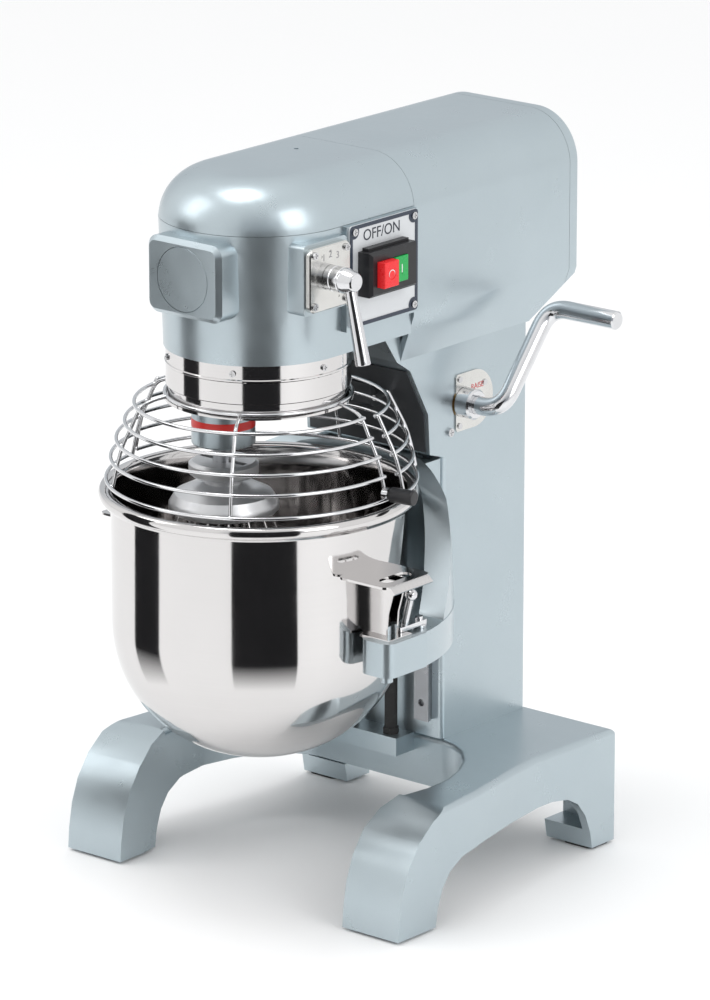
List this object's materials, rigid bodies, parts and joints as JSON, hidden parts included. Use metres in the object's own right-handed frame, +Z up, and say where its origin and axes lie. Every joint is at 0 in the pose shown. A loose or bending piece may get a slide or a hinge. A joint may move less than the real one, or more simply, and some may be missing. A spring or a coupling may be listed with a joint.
{
  "type": "planetary stand mixer",
  "caption": "Floor-footed commercial planetary stand mixer: cast column and drive head, stainless bowl on a crank-lifted yoke, wire whisk, swing wire guard, speed lever and push-button switch.",
  "frame": {"origin": "on the bench plane, at the centre of the four foot bolt holes", "axes": "+Z up, -Y towards the front of the machine where the attachment hub is, +X towards the side with the switch, speed lever and crank"},
  "size_m": [0.464, 0.6008, 0.788],
  "materials": {
    "casting": "silver metallic paint",
    "stainless": "polished stainless steel",
    "chrome": "bright chrome",
    "steel": "machined steel",
    "screw": "bright zinc",
    "rubber": "black rubber",
    "bronze": "bearing bronze",
    "copper": "copper winding and core",
    "black_plastic": "gloss black",
    "red_plastic": "red push button",
    "green_plastic": "green push button",
    "panel_grey": "pale grey printed panel",
    "border_black": "printed dark border",
    "dark_sheet": "dark sheet metal",
    "red_mark": "red index band",
    "plated": "satin nickel plate",
    "cast_aluminium": "cast aluminium"
  },
  "bodies": {
    "frame": {"base_casting": "casting", "foot_pads": "rubber", "column": "casting", "column_rear_panel": "casting", "column_bolts": "steel", "lift_plate": "plated", "shaft_bushes": "bronze", "slide_ways": "steel", "lift_buffers": "rubber", "head_housing": "casting", "top_cover": "casting", "rear_cover": "casting", "cable_gland": "black_plastic", "hub_plug": "casting", "bearing_walls": "cast_aluminium", "speed_plate": "plated", "switch_plate": "panel_grey", "switch_border": "border_black", "switch_body": "black_plastic", "shift_rail": "steel", "motor_stator": "copper", "motor_cradle": "cast_aluminium", "bearings": "steel", "drip_ring": "stainless", "ring_gear": "steel", "plate_screws": "screw", "guard_track": "stainless", "guard_rear": "chrome", "neck_shield": "dark_sheet"},
    "planetary": {"planetary_shaft": "steel", "planetary_head": "casting", "index_band": "red_mark", "bevel_gear": "steel"},
    "agitator": {"agitator_shaft": "steel", "planet_pinion": "steel", "whisk_hub": "cast_aluminium", "whisk_wires": "stainless"},
    "main_drive": {"main_shaft": "steel", "main_gear": "steel", "bevel_pinion": "steel"},
    "clutch": {"clutch_collar": "steel"},
    "counter": {"countershaft": "steel"},
    "motor": {"motor_rotor": "steel", "motor_pinion": "steel", "motor_fan": "black_plastic"},
    "speed_handle": {"lever_hub": "chrome", "speed_lever": "chrome"},
    "fork": {"shift_fork": "bronze"},
    "stop_button": {"red_button": "red_plastic"},
    "start_button": {"green_button": "green_plastic"},
    "front_guard": {"guard_front": "chrome", "guard_knob": "black_plastic"},
    "crank": {"crank_lever": "chrome", "lift_pinion": "steel"},
    "carriage": {"bowl_yoke": "casting", "lift_rack": "steel", "bowl": "stainless", "bowl_brackets": "stainless"},
    "clamp_right": {"bowl_clamp_right": "chrome"},
    "clamp_left": {"bowl_clamp_left": "chrome"}
  },
  "joints": [
    {"name": "planetary_spin", "type": "hinge", "parent": "frame", "child": "planetary", "pos_m": [0, -0.1565, 0.6], "axis": [0, 0, 1], "continuous": true},
    {"name": "agitator_spin", "type": "hinge", "parent": "planetary", "child": "agitator", "pos_m": [-0.0436, -0.1626, 0.5], "axis": [0, 0, 1], "continuous": true},
    {"name": "main_shaft_spin", "type": "hinge", "parent": "frame", "child": "main_drive", "pos_m": [0, -0.1, 0.689], "axis": [0, 1, 0], "continuous": true},
    {"name": "countershaft_spin", "type": "hinge", "parent": "frame", "child": "counter", "pos_m": [0, 0, 0.635], "axis": [0, 1, 0], "continuous": true},
    {"name": "motor_spin", "type": "hinge", "parent": "frame", "child": "motor", "pos_m": [0, 0.1, 0.689], "axis": [0, 1, 0], "continuous": true},
    {"name": "speed_select", "type": "hinge", "parent": "frame", "child": "speed_handle", "pos_m": [0.1, -0.176, 0.691], "axis": [1, 0, 0], "range_deg": [-25, 25]},
    {"name": "fork_slide", "type": "slide", "parent": "frame", "child": "fork", "axis": [0, 1, 0], "range_m": [-0.0089, 0.0089]},
    {"name": "clutch_slide", "type": "slide", "parent": "main_drive", "child": "clutch", "axis": [0, 1, 0], "range_m": [-0.0089, 0.0089]},
    {"name": "stop_press", "type": "slide", "parent": "frame", "child": "stop_button", "axis": [-1, 0, 0], "range_m": [0, 0.003], "stiffness_N_per_m": 800, "springref_m": -0.0005},
    {"name": "start_press", "type": "slide", "parent": "frame", "child": "start_button", "axis": [-1, 0, 0], "range_m": [0, 0.003], "stiffness_N_per_m": 800, "springref_m": -0.0005},
    {"name": "guard_swing", "type": "hinge", "parent": "frame", "child": "front_guard", "pos_m": [0, -0.1565, 0.5], "axis": [0, 0, 1], "range_deg": [-110, 0]},
    {"name": "bowl_lift", "type": "slide", "parent": "frame", "child": "carriage", "axis": [0, 0, 1], "range_m": [-0.0868, 0]},
    {"name": "crank_turn", "type": "hinge", "parent": "frame", "child": "crank", "pos_m": [0, 0.077, 0.5], "axis": [1, 0, 0], "range_deg": [0, 138.2]},
    {"name": "clamp_right_swing", "type": "hinge", "parent": "carriage", "child": "clamp_right", "pos_m": [0.186, -0.118, 0.32], "axis": [0, 0, 1], "range_deg": [0, 90]},
    {"name": "clamp_left_swing", "type": "hinge", "parent": "carriage", "child": "clamp_left", "pos_m": [-0.186, -0.118, 0.32], "axis": [0, 0, 1], "range_deg": [-90, 0]}
  ],
  "couplings": [
    {"joint": "agitator_spin", "follows": "planetary_spin", "ratio": -3.2},
    {"joint": "main_shaft_spin", "follows": "planetary_spin", "ratio": 2},
    {"joint": "countershaft_spin", "follows": "planetary_spin", "ratio": -4.75},
    {"joint": "motor_spin", "follows": "planetary_spin", "ratio": 13.571},
    {"joint": "fork_slide", "follows": "speed_select", "m_per_rad": -0.02},
    {"joint": "clutch_slide", "follows": "speed_select", "m_per_rad": -0.02},
    {"joint": "crank_turn", "follows": "bowl_lift", "rad_per_m": -27.778}
  ]
}
